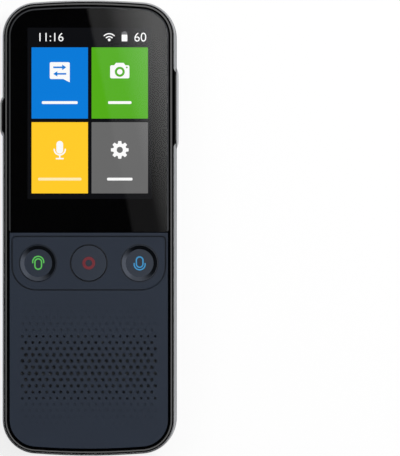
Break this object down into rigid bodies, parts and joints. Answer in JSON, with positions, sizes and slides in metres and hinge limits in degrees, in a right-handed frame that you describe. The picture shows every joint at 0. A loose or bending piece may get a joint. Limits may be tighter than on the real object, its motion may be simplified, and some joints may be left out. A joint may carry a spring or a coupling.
{
  "type": "handheld translator",
  "caption": "Slim handheld voice translator with a display, round front keys over a speaker grille, side keys and a rear camera with a flash.",
  "frame": {"origin": "centre of the bounding box at its lowest level, the crest of the camera ring, with the translator lying on its back", "axes": "+Z out of the display, +Y to the top end with the display and the camera, +X to the right of someone facing the display"},
  "size_m": [0.0524, 0.1332, 0.013],
  "materials": {
    "shell_plastic": "fine satin, dark slate",
    "rim_plastic": "polished black",
    "panel_plastic": "fine satin, dark slate",
    "key_plastic": "satin with a printed mark",
    "side_key_plastic": "satin black",
    "cover_glass": "polished, black border printed behind",
    "lcd_glass": "polarised stack",
    "window_glass": "polished",
    "lens_glass": "coated",
    "flash_plastic": "milky diffuser",
    "ring_metal": "satin black anodised",
    "inner_black": "moulded black",
    "inner_white": "moulded white",
    "switch_plunger": "moulded red",
    "steel_sheet": "plain stamped",
    "magnet_nickel": "nickel plated",
    "circuit_board": "solder mask",
    "flex_film": "amber film",
    "foam_rubber": "soft",
    "battery_foil": "matt foil pouch",
    "lead_rubber": "insulation",
    "adhesive": "double sided tape",
    "contact_brass": "gold plated"
  },
  "bodies": {
    "housing": {"rear_shell": "shell_plastic", "front_frame": "rim_plastic", "cover_glass": "cover_glass", "touch_sensor": "lcd_glass", "glass_tape": "foam_rubber", "lcd_cell": "lcd_glass", "backlight": "inner_white", "display_bracket": "steel_sheet", "display_flex": "flex_film", "display_connector": "inner_white", "front_panel": "panel_plastic", "key_plate": "panel_plastic", "grille_mesh": "inner_black", "speaker_gasket": "foam_rubber", "speaker": "inner_black", "speaker_magnet": "magnet_nickel", "camera_ring": "ring_metal", "camera_window": "window_glass", "camera_mask": "inner_black", "camera_lens": "lens_glass", "camera_module": "inner_black", "flash_lens": "flash_plastic", "flash_led": "inner_white", "rear_microphone": "steel_sheet", "rear_mic_boot": "foam_rubber", "main_board": "circuit_board", "port_board": "circuit_board", "board_link_flex": "flex_film", "processor": "inner_black", "processor_shield": "steel_sheet", "radio_shield": "steel_sheet", "battery": "battery_foil", "battery_tape": "adhesive", "battery_leads": "lead_rubber", "battery_connector": "inner_white", "antenna": "flex_film", "usb_shell": "steel_sheet", "usb_tongue": "inner_black", "usb_contacts": "contact_brass", "bottom_microphone": "steel_sheet", "bottom_mic_boot": "foam_rubber", "left_key_switch": "inner_black", "centre_key_switch": "inner_black", "right_key_switch": "inner_black", "volume_switches": "steel_sheet", "power_switch": "steel_sheet", "board_screws": "steel_sheet", "port_screws": "steel_sheet"},
    "left_key": {"key_left": "key_plastic", "left_switch_stem": "switch_plunger"},
    "centre_key": {"key_centre": "key_plastic", "centre_switch_stem": "switch_plunger"},
    "right_key": {"key_right": "key_plastic", "right_switch_stem": "switch_plunger"},
    "volume": {"volume_rocker": "side_key_plastic", "volume_switch_stems": "switch_plunger"},
    "power": {"power_button": "side_key_plastic", "power_switch_stem": "switch_plunger"}
  },
  "joints": [
    {"name": "left_key_press", "type": "slide", "parent": "housing", "child": "left_key", "axis": [0, 0, -1], "range_m": [0, 0.0004], "stiffness_N_per_m": 800, "springref_m": -0.001},
    {"name": "centre_key_press", "type": "slide", "parent": "housing", "child": "centre_key", "axis": [0, 0, -1], "range_m": [0, 0.0004], "stiffness_N_per_m": 800, "springref_m": -0.001},
    {"name": "right_key_press", "type": "slide", "parent": "housing", "child": "right_key", "axis": [0, 0, -1], "range_m": [0, 0.0004], "stiffness_N_per_m": 800, "springref_m": -0.001},
    {"name": "volume_rock", "type": "hinge", "parent": "housing", "child": "volume", "pos_m": [0.02305, 0.035, 0.00848], "axis": [0, 0, 1], "range_deg": [-1.6, 1.6], "stiffness_Nm_per_rad": 0.2},
    {"name": "power_press", "type": "slide", "parent": "housing", "child": "power", "axis": [1, 0, 0], "range_m": [0, 0.0003], "stiffness_N_per_m": 800, "springref_m": -0.001}
  ]
}
